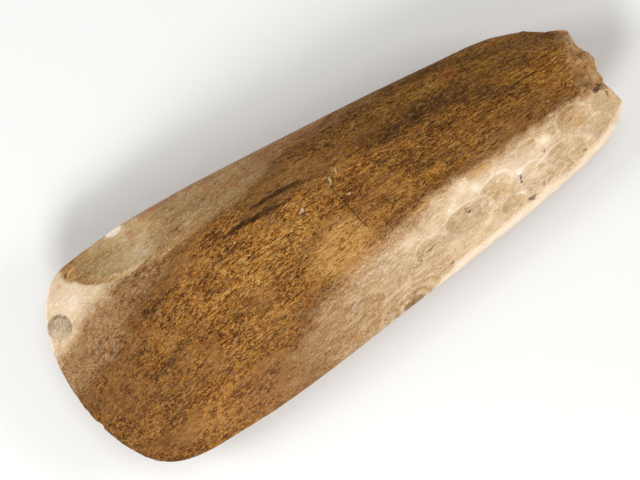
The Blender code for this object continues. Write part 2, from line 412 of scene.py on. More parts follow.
# Grooves and cracks: points, width and depth
GROOVES = (
    (((60.5, 15.1), (67.7, 15.7), (75.1, 14.9), (83.3, 14.4)), 1.4, 0.8),
    (((71.3, 17.9), (77.5, 18.2), (83.5, 17.9), (89.3, 17.4)), 1, 0.6),
    (((49.9, 9.1), (55.2, 10.3), (59.4, 11.7), (64.6, 11.8)), 0.4, 0.3),
    (((120.6, 15.6), (127, 15.6), (134.8, 15)), 0.5, 0.35),
    (((116.1, 1.6), (124, 2.4), (134.5, 1.9)), 0.5, 0.35),
    (((141.4, -22), (143.4, -22.5), (145.4, -22.3)), 0.9, 0.5),
    (((145.6, -22.5), (151, -21.8), (158, -20.5), (164, -19.4)), 0.25, 0.18),
    (((131, -24), (136, -22.8), (141, -22.1)), 0.25, 0.18),
    (((136.7, -18.8), (144, -19.2), (152.7, -18.9)), 0.2, 0.14),
    (((74, -22), (76.5, -17.5), (77.5, -13)), 0.2, 0.12),
    (((84, -20.5), (88, -17.5), (90, -13.5)), 0.2, 0.12),
    (((102.6, -20.8), (107.5, -19.2), (112.8, -18.6)), 0.36, 0.3),
    (((104.5, -18.7), (107.8, -17.4)), 0.3, 0.26),
    (((81, -22.7), (82.2, -20.6), (84.9, -19.7)), 0.34, 0.26),
)
# Darker bands in the crust: points, width, strength
DARK_BANDS = (
    (((104, 17.5), (115, 15.7), (127, 15), (138.1, 14.4), (148.3, 9.4), (158.3, 5.3)), 6.5, 0.55),
    (((114, 3.6), (124, 2), (136, 1.2)), 3, 0.45),
    (((140, 3.4), (152, 1.4), (163, -1)), 3, 0.35),
    (((66, 17.5), (77, 17), (90, 16.6), (100, 17.5)), 5, 0.45),
    (((22, -9), (30, -6.5), (38, -4)), 3.2, 0.42),
    (((7, 6.5), (13, 7.6), (19, 9.4)), 2.2, 0.4),
    (((30, 7.5), (37, 9.8), (44, 11)), 4, 0.38),
    (((36, -4.5), (44, -1.5)), 5, 0.3),
    (((60, -9), (68, -7)), 2.4, 0.3),
    (((12, -24), (18, -27)), 4.5, 0.35),
    (((88.5, 6.4), (92, 7.6)), 1.5, 0.3),
    (((94.6, -30.4), (98.4, -29.4), (102, -28.9)), 2.4, 0.42),
    (((176, 13), (165, 18), (152, 21), (138, 24.5), (120, 28)), 3, 0.4),
)
# Paler bands: streaks of paler stone, and the broad one along the facet's ridge, from u 114 to 156, a
# painted highlight: points, width, strength
LIGHT_BANDS = (
    (((74, 8.6), (80, 8.9), (86, 8.6)), 1, 0.3),
    (((69, 18.9), (77, 19.9), (86, 20.2)), 1.8, 0.26),
    (((112, 10.6), (122, 11.4), (132, 11)), 2.4, 0.2),
    (((126, -0.6), (136, -1.2), (146, -1.4)), 2.6, 0.26),
    (((20, 1), (28, 3.6), (36, 5.4)), 3.4, 0.16),
    (((24, -13), (36, -9), (46, -6)), 3, 0.14),
    (((116, 19.5), (126, 19), (136, 18)), 1.6, 0.16),
    (((114, -9.4), (126, -10.4), (140, -11.4), (156, -11.6)), 10, 0.14),
    (((134, -23.8), (142, -23.2), (150, -21.4), (158, -19.2)), 1.4, 0.2),
    (((88, -26), (96, -24.2), (104, -24.6)), 1.6, 0.16),
)
# Lighter and darker places of the crust: middle, length and width, turn, how much lighter
TONE_SPOTS = (
    ((71, 4.4), (36, 13), 10, 0.12), ((88, -5), (30, 12), 9, 0.1),
    ((44, -9), (13, 5), 14, -0.1), ((24, 6), (16, 6), 14, 0.06),
    ((30, -20), (26, 10), 10, -0.05), ((47, -24), (22, 9), 8, -0.1),
    ((60, -12), (20, 6), 10, 0.06), ((120, -1), (34, 6), 4, 0.1),
    ((128, 22), (30, 6), -6, 0.07), ((160, 8), (24, 12), -10, 0.04),
    ((112, 8), (24, 8), 8, 0.06), ((50, 2), (18, 8), 12, 0.05),
    ((145, 20), (44, 9), -8, 0.07),
    ((78, 21), (30, 4), 6, 0.05), ((12, -12), (12, 14), 0, -0.04),
    ((23.4, 5.4), (3.4, 2.2), 20, 0.26), ((34, -2), (9, 4), 16, 0.1),
    ((15, -20), (8, 4), 20, 0.08), ((66, -17), (12, 4), 16, 0.08),
    ((82.5, 13), (12, 2.4), 0, 0.14), ((91, 15.6), (8, 2.4), 10, 0.12),
    ((56, -4), (14, 3), 16, -0.07), ((100.5, 5), (10, 14), 0, -0.08),
)
# Scars on the cream facet: middle, length and width, turn, depth in mm, how much paler inside
FACET_SCARS = (
    ((156.3, -17.4), (19, 8.6), 6, 0.5, -0.08),
    ((146.6, -17.6), (10, 8.4), 0, 0.42, -0.02),
    ((135.2, -14), (10.4, 6.6), 12, 0.42, -0.08),
    ((132.8, -8), (9.6, 4.6), 6, 0.25, -0.07),
    ((124, -18.2), (15, 10), 4, 0.5, -0.11),
    ((164.6, -9.8), (11, 8.4), -16, 0.42, -0.06),
    ((111, -20.5), (12, 9), 0, 0.34, -0.05),
    ((170.5, -15), (8, 7), -40, 0.3, -0.03),
    ((148, -9.6), (8, 5), 10, 0.26, -0.05),
    ((137.6, -20.8), (8.4, 4.6), 4, 0.34, -0.07),
    ((117.5, -11), (10, 5), 8, 0.24, -0.02),
    ((86, -25), (12, 8), 10, 0.3, -0.04),
)
# The eye-shaped scar on the right side, with ripples around it: middle, size, turn
EYE = ((97.8, -29.9), (7.6, 3), 10)
EYE_RIPPLE = 1.0  # from one ripple to the next, in the eye's own radii
EYE_REACH = 2.3
# Painted highlights on the facet's crests and at the blade's left corner: u, v, radius, how much paler
CREST_HIGHLIGHTS = (
    (154, -9.6, 1.9, 0.26), (142.8, -13.6, 1.6, 0.24), (126.2, -8.2, 2.4, 0.2), (113, -14.6, 2.4, 0.14),
    (104.5, -13, 3, 0.12), (141.4, -19.4, 1.3, 0.2), (151.6, -14.6, 1.3, 0.16), (160.5, -14, 1.6, 0.12),
    (120.2, -12.6, 2, 0.16), (130, -11, 1.5, 0.18), (138.6, -10.6, 1.6, 0.12), (131, -16.8, 1.2, 0.14),
    (13.6, 23.4, 3.4, 0.22), (10.6, 24.4, 2.4, 0.16), (145.4, -16.6, 4, 0.1),
    (150.4, -17, 0.8, 0.16), (149.8, -19, 0.7, 0.14), (167.6, -5.6, 1.6, 0.1), (171, -11, 1.8, 0.08),
)
# Small dark pits: u, v, length, width, turn
DARK_SPOTS = (
    (142.7, -15.3, 1.5, 0.8, 60), (142.2, -16.6, 0.9, 0.5, 30), (125, -15.7, 1.2, 0.7, 20),
    (124.2, -15, 0.8, 0.4, 50), (126.1, -16.3, 0.7, 0.4, 0), (144.2, -22.3, 1.4, 0.7, 5),
    (148, -20.4, 0.9, 0.4, 20), (98.8, 5.2, 1.6, 0.9, 60), (88.6, 8.4, 1.5, 0.6, 70),
    (16, 30.4, 1.5, 0.7, 70), (9.6, 20.2, 0.8, 0.6, 0), (3.6, 20.4, 0.9, 0.5, 0), (7.4, 21.6, 1, 0.4, 0),
    (51, 24.5, 0.9, 0.5, 20), (113, -26.3, 2.4, 0.6, 24), (106, -20.5, 0.9, 0.5, 0),
    (93, -20, 0.8, 0.4, 30), (86, -16, 0.8, 0.4, 20), (152.4, -12.4, 0.8, 0.4, 60),
    (131.6, -19.6, 0.7, 0.4, 0), (163.2, -18.6, 0.9, 0.4, 20), (118.6, -23.8, 0.9, 0.4, 10),
    (174.2, -5.4, 3, 1.5, 4), (175.9, -4.7, 2, 0.8, -26), (176.5, -7.7, 2.6, 0.5, -86),
    (78, -18, 0.8, 0.5, 30),
)
# Small pale grains: u, v, length, width, turn
SPECKS = (
    (84.5, 9.9, 1.3, 0.8, 60), (83.4, 9.5, 0.6, 0.4, 20), (98.4, 14.3, 2, 0.45, 74),
    (95.6, 12.7, 2.2, 0.7, 82), (94.6, 11.7, 0.6, 0.4, 0), (98.2, 6.8, 0.8, 0.6, 0),
    (76, 3.9, 0.6, 0.4, 0), (114.9, 25.3, 0.6, 0.4, 0), (56.1, 26.3, 0.8, 0.3, 40),
    (102.2, -1.9, 0.5, 0.3, 0), (101, 0.4, 0.45, 0.3, 0), (99.6, 1.6, 0.4, 0.3, 60),
    (102.8, 0.6, 0.45, 0.3, 30), (100.8, 2.6, 0.4, 0.3, 0), (104, -0.8, 0.4, 0.3, 0),
    (33.4, -34.9, 1.6, 0.7, 20), (160.2, -0.9, 0.6, 0.3, 0), (158.9, -0.4, 0.4, 0.3, 0),
    (134.6, 20.6, 1, 0.3, 0), (129.5, 28, 0.8, 0.4, 0), (178.2, 3.4, 2.2, 1.2, 58),
    (174.8, 4.1, 1.9, 0.7, -60), (173.8, 10.3, 1.5, 0.4, 58), (19, -4.2, 0.6, 0.4, 0),
    (154.1, -9.4, 1, 0.5, 30), (153, -10.2, 0.8, 0.4, 60), (143.6, -13.2, 1.2, 0.4, 50),
    (126.6, -7.6, 1, 0.5, 20), (125.4, -9.3, 0.7, 0.4, 0), (139.6, -18.9, 1.2, 0.3, 15),
    (46.2, 20.6, 0.7, 0.4, 0), (44.6, 20.2, 0.5, 0.4, 0),
)
# The two scars at the blade's left corner: along, across, length, width, depth in metres
CORNER_PRESSES = ((0.155, 0.87, 0.0345, 0.0225, 0.0019), (0.027, 0.56, 0.0076, 0.0074, 0.0004))
# Reddish marks: u, v, radius
EMBERS = (
    (44.3, 33.1, 1.5), (47.5, 33.4, 1.2), (64.1, 30.7, 1.3), (59.6, 32.6, 1), (38.5, 30.5, 1.1),
    (71, 27, 1), (141, 21.6, 1.8), (12.9, 28.7, 0.9),
)


def press_ellipsoid(points, frame, radii, centre):
    """Moves points that are inside an ellipsoid down its axis, onto its surface."""
    inverse = np.array(frame.inverted())
    local = points @ inverse[:3, :3].T + inverse[:3, 3]
    a, b = local[:, 0] / radii[0], local[:, 1] / radii[1]
    under = 1 - a * a - b * b
    floor = centre - radii[2] * np.sqrt(np.maximum(under, 0))
    inside = (under > 0) & (local[:, 2] > floor) & (local[:, 2] < centre + radii[2])
    local[inside, 2] = floor[inside]
    forward = np.array(frame)
    return local @ forward[:3, :3].T + forward[:3, 3]


def push_out_of_ball(points, centre, radii):
    """Moves points that are inside an ellipsoid straight away from its centre, onto it."""
    local = (points - centre) / radii
    away = np.linalg.norm(local, axis=1)
    inside = away < 1
    local[inside] /= np.maximum(away[inside], 1e-6)[:, None]
    return local * radii + centre


def face_frame(along, across):
    def place(a, c):
        return Vector(skin_points(np.array([[a]]), np.array([[c]]), True)[0, 0])

    here = place(along, across)
    towards_butt = place(along + 0.01, across) - here
    towards_left = here - place(along, across - 0.01)
    outwards = towards_butt.cross(towards_left).normalized()
    forwards = towards_butt.normalized()
    frame = Matrix((forwards, outwards.cross(forwards), outwards)).transposed().to_4x4()
    frame.translation = here
    return frame


def press_scar(points, along, across, length, width, depth):
    height = 4 * depth
    narrowing = math.sqrt(1 - ((height - depth) / height) ** 2)
    radii = (length / 2 / narrowing, width / 2 / narrowing, height)
    return press_ellipsoid(points, face_frame(along, across), radii, height - depth)


# The break at the butt

# The end of the stone as seen from above: v and u, and the upper border of the broken slope
END_LINE = (
    (-20, 177.4), (-14.5, 179.2), (-12.4, 180.9), (-9.4, 179.3), (-6, 178.5), (-2.3, 178.9),
    (1.9, 179.9), (3.7, 179.4), (6.4, 178.4), (11.2, 177.4), (14, 177), (20, 176.5),
)
SLOPE_LINE = (
    (-20, 177.4), (-14.5, 179.2), (-12.4, 180.9), (-9.4, 178.8), (-6.4, 176.8), (-3.6, 173.4),
    (0.5, 172.9), (5.1, 173.7), (10.4, 175), (13.3, 176.8), (20, 176.4),
)
SLOPE_FOOT = 5.5  # the heights in mm between which the slope stands
SLOPE_TOP = 12.5
SLOPE_HOLLOW = 1.15
UNDERCUT = 1.6  # how far the break falls back under the stone, in mm
TUCK = 1.0  # how far the wall falls back on the right side
POCKET = ((-4.8, 1.5), (10.5, 2.4), 1.8)  # middle and radius over v and over z, and depth
BREAK_HOLLOWS = 1.7  # how strong its hollows, its fine relief and the ledges of its border are
BREAK_HACKLES = 0.25
BREAK_LEDGES = 1.3
BREAK_DEPTH = 0.35


def break_front(v, z):
    """The u at which the break cuts the stone, in mm, over v and z."""
    climb = np.clip((z - SLOPE_FOOT) / (SLOPE_TOP - SLOPE_FOOT), 0, 1.3) ** SLOPE_HOLLOW
    front = mix(column(END_LINE, v, 1), column(SLOPE_LINE, v, 1), climb)
    (at_v, wide), (at_z, tall), deep = POCKET
    pocket = deep * bump_at(v, z, at_v, at_z, wide, tall)
    tuck = TUCK * fade(-8, -10.5, v) * fade(5, 0, z)
    return front - pocket - tuck - UNDERCUT * fade(1, -12, z)


# Zones: which kind of surface shows where

FAR = 3.0  # gaps to lines and ovals are kept up to this many mm
SCAR_STRENGTH = 1.2  # how strongly the scars and the painted crest highlights of the facet show
CREST_HIGHLIGHT_STRENGTH = 1.35
CHIP_PALENESS = 1.25
# How pale the painted highlights along the rims are
RIM_HIGHLIGHT_PALENESS = 1.1


def edge_level(rows, u, v, side, wobble):
    """A surface that begins at a border and fades in over a width; side is +1 for left of it."""
    inside = (v - column(rows, u, 1)) * side / column(rows, u, 2)
    return column(rows, u, 3) * fade(0, 1, inside + 0.5 + wobble)


def scar_radius(u, v, middle, size, turn, wander, fine):
    """Distance from a scar's middle, 1 on its border, which is uneven."""
    return oval(u, v, middle, size, turn) + 0.18 * wander + 0.06 * fine


def eye_ripples(u, v):
    """Ripples around the eye-shaped scar, from -1 to 1, and how far a place is inside it."""
    r = oval(u, v, *EYE)
    fading = np.exp(-(((r - 1) / EYE_REACH) ** 2))
    return fading * np.cos(2 * math.pi * (r - 1.15) / EYE_RIPPLE) * (r > 1), fade(1.05, 0.8, r)


def past_step(u, v):
    """How far a place is past the step towards the butt, in mm."""
    away, side, _ = along_line(u, v, STEP_LINE)
    return away * side


def gold_patch(u, v, wander):
    return fade(1.2, 0.4, oval(u, v, *GOLD_PATCH) + 0.2 * wander)


def facet_level(u, v, wobble, wander, fine):
    """How pale the facet right of the ridge is, with its scars, its eye, and painted highlights on the
    scars' rims and on its crests.
    """
    facet = edge_level(FACET_EDGE, u, v, -1, wobble)
    inside = np.zeros(len(u))
    rim_highlight = np.zeros(len(u))
    for middle, size, turn, _, tone in FACET_SCARS:
        r = scar_radius(u, v, middle, size, turn, wander, fine)
        # The border is crisp on the side of the crest and fades on the other
        crisp = fade(-0.4, 0.4, (v - middle[1]) * 2 / size[1])
        filled = fade(1.03, mix(0.4, 0.92, crisp), r)
        inside = np.minimum(inside, SCAR_STRENGTH * tone * filled)
        # Painted highlight along each scar's rim, on the side of the crest
        rim_highlight = np.maximum(rim_highlight, 0.18 * crisp * np.exp(-(((r - 1.07) / 0.06) ** 2)))
    facet += (inside + rim_highlight) * fade(0.2, 0.7, facet)
    ripple, eye = eye_ripples(u, v + 0.3 * fine)
    facet += 0.17 * ripple - 0.24 * eye
    # Painted highlights on the crests and at the blade's left corner
    for at_u, at_v, radius, tone in CREST_HIGHLIGHTS:
        facet += CREST_HIGHLIGHT_STRENGTH * tone * bump_at(u, v, at_u, at_v, radius, 0.8 * radius)
    return facet


def corner_level(u, v, wobble):
    """How pale the polish at the blade's left corner is, with a painted highlight on it and the film
    around it.
    """
    # The bump near (14.8, 22.6) is a painted highlight on the corner's polish
    corner = edge_level(CORNER_EDGE, u, v, 1, wobble) + 0.12 * bump_at(u, v, 14.8, 22.6, 6, 3)
    return np.maximum(corner, edge_level(FILM_EDGE, u, v, 1, 2 * wobble))


def rim_highlight_level(u, v):
    """Painted light along the rims of the right side and of the blade's left corner: how much paler they
    are.
    """
    out = half_width(u / 1000) * 1000
    wide = mix(0.7, 2.2, fade(105, 118, u))
    right = fade(wide + 0.5, wide - 0.6, out + v) * fade(100, 107, u) * (v < 0)
    left = fade(1.1, 0.3, out - v) * fade(14, 9, u) * (v > 13)
    return RIM_HIGHLIGHT_PALENESS * np.maximum(right, left)


def pale_level(u, v, z, wander, fine):
    """How pale the stone is, from 0 on the brown crust to 1 on the cream polish, with painted highlights
    and shade in it, and the scar.
    """
    wobble = 0.1 * wander + 0.05 * fine
    gold = 0.32 * gold_patch(u, v, wander) * mix(1, 0.45, fade(-0.3, 0.3, past_step(u, v)))
    strip = edge_level(STRIP_EDGE, u, v, 1, 1.5 * wobble)
    facet = facet_level(u, v, wobble, wander, fine)
    pale = np.maximum.reduce([facet, corner_level(u, v, wobble), strip, gold])
    scar_reach = oval(u, v, *CORNER_SCAR)
    scar = fade(1.025, 0.985, scar_reach + 0.012 * fine) * fade(50, 34, u)
    climb = np.clip((u - 17) / 27 + (28 - v) * 0.012, 0, 1)
    # Painted shade inside the corner's scar, darker near its border
    painted_border_shade = fade(0.72, 1, scar_reach) * fade(40, 22, u)
    pale = mix(pale, mix(0.42, 0.93, climb) - 0.13 * painted_border_shade, scar)
    olive = fade(1.15, 0.75, oval(u, v, *OLIVE_PATCH) + 0.15 * wander)
    pale = mix(pale, 0.44, olive)
    chip = fade(1.1, 0.85, oval(u, v, *CORNER_CHIP) + 0.05 * fine)
    pale = mix(pale, CHIP_PALENESS, chip)
    # Paler bands, the broad one on the facet's ridge a painted highlight
    for points, width, strength in LIGHT_BANDS:
        away, _, share = along_line(u, v + 0.35 * fine, points)
        pale += strength * tapered(share) * fade(0.5 * width, 0, away)
    # Painted highlights along the rims
    pale = np.maximum(pale, rim_highlight_level(u, v))
    return pale * fade(-2.6, 0.6, z + 0.9 * wander), scar


def dark_level(u, v, wander):
    """How dark the crust is: the half towards the butt, past the step."""
    beyond = fade(-0.5, 0.5, past_step(u, v)) * fade(14, 12, v) * (v > -6) * (u > 93)
    past = np.maximum(fade(94, 116, u + 2 * wander), 0.55 * beyond)
    return past * mix(0.3, 1, fade(-5, 11, v + 1.2 * wander))


def smooth_level(u, v, z, pale, scar, wander):
    """How smooth the stone is, from 0 on the rough crust to 1 on the polish."""
    polish = fade(0.1, 0.55, pale)
    left = fade(0, 5, v - column(STRIP_EDGE, u, 1) + 1.5 * wander) * fade(30, 45, u)
    low = 0.55 * fade(1.1, 0.6, oval(u, v, *WORN_SIDE) + 0.12 * wander)
    gold = 0.55 * fade(1.2, 0.5, oval(u, v, *GOLD_PATCH))
    butt = 0.42 * fade(138, 168, u + 3 * wander)
    smooth = np.maximum.reduce([polish, 0.75 * left, low, gold, butt])
    smooth = mix(smooth, 0.72, scar)
    return np.maximum(smooth, 0.55 * fade(0.3, -1, z))


def gap_to_lines(u, v, lines):
    """Distance in mm from the borders of tapering lines; below 0 inside them."""
    gap = np.full(len(u), FAR)
    for points, width, depth in lines:
        away, _, share = along_line(u, v, points)
        faint = 0.3 * (1 - min(depth / 0.5, 1)) + 0.4 * (tapered(share) < 0.05)
        gap = np.minimum(gap, away - 0.5 * width * tapered(share) + faint)
    return gap


def gap_to_ovals(u, v, ovals):
    """Distance in mm from the borders of small ovals; below 0 inside them."""
    gap = np.full(len(u), FAR)
    for at_u, at_v, length, width, turn in ovals:
        r = oval(u, v, (at_u, at_v), (length, width), turn)
        gap = np.minimum(gap, (r - 1) * 0.5 * math.sqrt(length * width))
    return gap


def band_level(u, v, fine, ragged):
    """How much the crust is darkened along the darker bands."""
    band = np.zeros(len(u))
    for points, width, strength in DARK_BANDS:
        away, _, share = along_line(u, v + 2 * ragged + 0.12 * width * fine, points)
        band = np.maximum(band, strength * tapered(share) * fade(0.6 * width, 0.1 * width, away))
    return band


def tone_lift(u, v, wander):
    """How much lighter the crust is in some places."""
    lift = np.zeros(len(u))
    for middle, size, turn, strength in TONE_SPOTS:
        lift += strength * fade(1.3, 0.3, oval(u, v, middle, size, turn) + 0.25 * wander)
    return lift


def broken_level(places, facing, wander, fine, upper):
    """How fresh the break is: less along the slope's upper border, and on the crust beside it."""
    u, v, z = places.T
    broken = fade(2.8, 1.8, break_front(v, z) - u) * fade(0.22, 0.42, facing)
    broken *= np.maximum(fade(-10.8, -8, v), fade(1, -2, z))
    past_border = u - column(SLOPE_LINE, v, 1)
    below = fade(-1, 2.6, past_border + 1.4 * fine)
    broken *= mix(0.45, 1, np.maximum(below, fade(8, 5, z)))
    beside = fade(-6, 0.5, past_border + 2.2 * wander + 0.8 * fine)
    return np.maximum(broken, 0.42 * beside * fade(-7.5, -4, v) * upper)


def stain_level(u, v, fine):
    """The grey stain: strongest along its border, and weaker on its lower side."""
    ring = oval(u, v, *STAIN) + 0.03 * fine
    stain = fade(1.06, 0.94, ring) * mix(0.8, 1, fade(0.45, 0.9, ring))
    at_u, at_v = STAIN[0]
    lowness = (at_v - v) * 0.85 + (at_u - u) * 0.53
    return stain * mix(1, 0.46, fade(-0.2, 2.8, lowness + 0.9 * fine))


def gold_level(u, v, step, wander, fine):
    """How golden the stone is."""
    gold = gold_patch(u, v, wander) * mix(1, 0.25, fade(-0.3, 0.3, step))
    gold = np.maximum(gold, 0.5 * fade(1.1, 0.7, oval(u, v, *OLIVE_PATCH) + 0.15 * wander))
    for middle, size, turn in GOLD_SPOTS:
        spot = fade(1.15, 0.5, oval(u, v, middle, size, turn) + 0.2 * wander + 0.1 * fine)
        gold = np.maximum(gold, 0.65 * spot)
    return gold


def ember_level(u, v):
    """How reddish the stone is."""
    ember = np.zeros(len(u))
    for at_u, at_v, radius in EMBERS:
        ember = np.maximum(ember, fade(1.5, 0.2, np.hypot(u - at_u, v - at_v) / radius))
    return ember


def add_zones(mesh, places, facing):
    """Keeps the zones of each point on the mesh. facing is how far it faces the butt's end."""
    u, v, z = places.T
    wander = clouds(places, 0.12, 4, 5)
    fine = clouds(places, 0.6, 3, 21)
    ragged = 0.18 * clouds(places, 0.5, 2, 7)
    upper = fade(-1.5, 1, z)
    pale, scar = pale_level(u, v, z, wander, fine)
    dark = dark_level(u, v, wander) * upper
    smooth = smooth_level(u, v, z, pale, scar, wander)
    line = gap_to_lines(u, v + ragged, GROOVES)
    pit = gap_to_ovals(u, v, DARK_SPOTS)
    speck = gap_to_ovals(u, v, SPECKS)
    broken = broken_level(places, facing, wander, fine, upper)
    away, side, share = along_line(u, v + ragged, STEP_LINE)
    step = np.clip(away * side, -FAR, FAR)
    # Where along the step its painted shadow line shows
    step_shown = fade(0, 0.1, share) * fade(1, 0.88, share) * upper
    stain = stain_level(u, v, fine) * upper
    gold = gold_level(u, v, step, wander, fine) * upper
    ember = ember_level(u, v) * upper
    band = band_level(u, v, fine, ragged) * upper
    lift = tone_lift(u, v, wander) * upper
    warm = np.maximum(fade(15, 21, v) * fade(30, 44, u), scar)
    warm *= fade(0.9, 1.3, oval(u, v, *CORNER_CHIP))
    line, pit, speck, step = (mix(FAR, gap, upper) for gap in (line, pit, speck, step))
    keep = {
        "zone_a": (pale, dark, smooth),
        "zone_b": (line, pit, speck),
        "zone_c": (broken, stain, gold),
        "zone_d": (step, ember, band),
        "zone_e": (lift, warm, step_shown),
        "flow": straightened(places).T,
    }
    for name, values in keep.items():
        attribute = mesh.attributes.new(name, "FLOAT_VECTOR", "POINT")
        attribute.data.foreach_set("vector", np.stack(values, -1).astype(np.float32).ravel())


# The relief of the surface


def relief(places):
    """How far the surface stands below the ground skin, in mm, at places on the stone."""
    u, v, z = places.T
    wander = clouds(places, 0.12, 3, 5)
    fine = clouds(places, 0.6, 2, 21)
    pale, scar = pale_level(u, v, z, wander, fine)
    rough = 1 - smooth_level(u, v, z, pale, scar, wander)
    flow = straightened(places)
    above = fade(-1, 2, z)
    deep = 0.1 + 0.1 * clouds(places, 0.07, 3, 1)
    ridged = np.abs(clouds(flow, (0.14, 0.6, 0.6), 3, 2))
    pitted = np.maximum(clouds(flow, (0.42, 1, 1), 3, 3) - 0.05, 0)
    coarse = np.maximum(clouds(flow, (0.1, 0.28, 0.28), 3, 4) + 0.1, 0)
    crust = 0.3 * ridged + 0.55 * pitted + 0.3 * coarse
    deep += (0.1 + 0.9 * rough) * crust - 0.06 * rough
    scars = np.zeros(len(u))
    for middle, size, turn, depth, _ in FACET_SCARS:
        r = scar_radius(u, v, middle, size, turn, wander, fine)
        ripple = 1 + 0.06 * np.cos(14 * r)
        scars = np.maximum(scars, 1.6 * depth * ripple * np.maximum(1 - r**3, 0))
    ripple, eye = eye_ripples(u, v)
    deep += (scars - 0.12 * ripple + 0.5 * eye) * above
    ragged = 0.18 * clouds(places, 0.5, 2, 7)
    for points, width, depth in GROOVES:
        away, _, share = along_line(u, v + ragged, points)
        deep += above * depth * tapered(share) * np.maximum(1 - away / (0.5 * width + 0.3), 0)
    for points, width, strength in DARK_BANDS:
        away, _, share = along_line(u, v + 2 * ragged, points)
        deep += above * 0.35 * strength * tapered(share) * fade(0.5 * width, 0, away)
    away, side, share = along_line(u, v + ragged, STEP_LINE)
    butt_side = fade(-0.3, 0.3, away * side)
    deep += above * 0.28 * butt_side * fade(9, 0, away) * tapered(share)
    deep += above * 0.3 * fade(0.5, -0.2, gap_to_ovals(u, v, DARK_SPOTS))
    # The two faces keep apart where the stone is thin, and the sides stay even
    inside = np.maximum(half_width(u / 1000) * 1000 - np.abs(v), 0)
    room = np.minimum(0.04 + 0.5 * np.abs(z), 0.12 + 0.4 * inside)
    return np.minimum(deep, room)


# The block that takes the butt's end away, in mm: its range over v and z, its steps, its far side
CUTTER_V = (-24.0, 24.01)
CUTTER_Z = (-20.0, 24.01)
CUTTER_STEP = 0.42
CUTTER_END = 200.0


def break_cutter():
    """A block with a rough front that takes the butt's end away."""
    y = np.arange(*CUTTER_V, CUTTER_STEP)
    z = np.arange(*CUTTER_Z, CUTTER_STEP)
    yy, zz = np.meshgrid(y, z, indexing="ij")
    flat = break_front(yy, zz)
    places = np.stack([flat * 0.3, yy, zz], axis=-1).reshape(-1, 3)
    hollows = np.abs(clouds(places, 0.13, 3, 11))
    hackles = clouds(places, (0.3, 0.9, 0.35), 3, 12)
    ledges = BREAK_LEDGES * clouds(places, 0.3, 2, 13) * fade(8, 11, places[:, 2])
    rough = (BREAK_HACKLES * hackles - BREAK_HOLLOWS * hollows + ledges).reshape(flat.shape)
    front = flat - BREAK_DEPTH + rough * mix(0.35, 1, fade(-13, -8, yy))
    near = np.stack([front, yy, zz], axis=-1).reshape(-1, 3)
    far = np.stack([np.full(yy.shape, CUTTER_END), yy, zz], axis=-1).reshape(-1, 3)
    index = np.arange(yy.size).reshape(yy.shape)
    quads = np.stack([index[:-1, :-1], index[:-1, 1:], index[1:, 1:], index[1:, :-1]], -1)
    faces = quads.reshape(-1, 4).tolist()
    faces += [[a + yy.size for a in reversed(face)] for face in faces]
    rim = list(index[:-1, 0]) + list(index[-1, :-1]) + list(index[:0:-1, -1]) + list(index[0, :0:-1])
    for i, a in enumerate(rim):
        b = rim[(i + 1) % len(rim)]
        faces.append([int(a), int(b), int(b) + yy.size, int(a) + yy.size])
    mesh = write_mesh("break_cutter", np.concatenate([near, far]) / 1000, faces)
    return bpy.data.objects.new("break_cutter", mesh)


def cut_butt(skin, cutter):
    """Takes the cutter out of the skin."""
    bpy.context.scene.collection.objects.link(cutter)
    boolean = skin.modifiers.new("break", "BOOLEAN")
    boolean.operation = "DIFFERENCE"
    boolean.object = cutter
    boolean.solver = "EXACT"
    graph = bpy.context.evaluated_depsgraph_get()
    mesh = bpy.data.meshes.new_from_object(skin.evaluated_get(graph))
    skin.modifiers.clear()
    skin.data = mesh
    bpy.data.objects.remove(cutter)
    return mesh


# How far the sides stray outwards from the part's, in mm: u, left side, right side
OUTLINE_TRIM = (
    (0, -0.3, -0.3), (4, -0.5, 0), (10, -0.4, 0.6), (15, -0.5, 0.4), (20, -1.1, 0.2),
    (27, -1.1, 0.1), (33, -0.6, 0), (45, -0.4, 0.4), (60, 0, 0.5), (75, 0, 0.4),
    (95, 0.2, 0.1), (120, 0.6, 0.3), (140, 0.7, 0.3), (150, 0.9, 0), (157, 0.6, -0.1),
    (165, -0.6, 0), (171, -0.4, 0.5), (177, 0, 0.3), (180.5, 0, 1.3),
)


def trim_outline(points):
    """Draws the sides in or out, so that the outline is the stone's own."""
    u, v = points[:, 0] * 1000, points[:, 1] * 1000
    out = np.maximum(half_width(points[:, 0]) * 1000, 1)
    trim = np.where(v > 0, column(OUTLINE_TRIM, u, 1), column(OUTLINE_TRIM, u, 2))
    moved = points.copy()
    moved[:, 1] += np.sign(v) * trim * np.minimum(np.abs(v) / out, 1) ** 3 / 1000
    return moved


# Chips that push the silhouette in: centre in metres from the front, and radii
CHIPS = (
    ((1.0383 * STONE_LENGTH, 1.205 * BLADE_WIDTH / 2, 0.1 * CREST_HEIGHT), (0.03, 0.03, 0.03)),
    ((0.0003, -0.0124, 0), (0.0018, 0.0024, 0.0054)),
    ((0.0026, -0.0196, 0), (0.0013, 0.0014, 0.004)),
    ((-0.0002, 0.0128, 0), (0.0012, 0.0012, 0.003)),
    ((0.001, 0.0186, 0), (0.0011, 0.001, 0.003)),
    ((-0.0009, 0.006, 0), (0.0011, 0.0016, 0.003)),
    ((-0.0009, -0.004, 0), (0.0011, 0.0012, 0.003)),
)


SHARP_ANGLE = 48.0  # edges that turn by more than this many degrees stay sharp


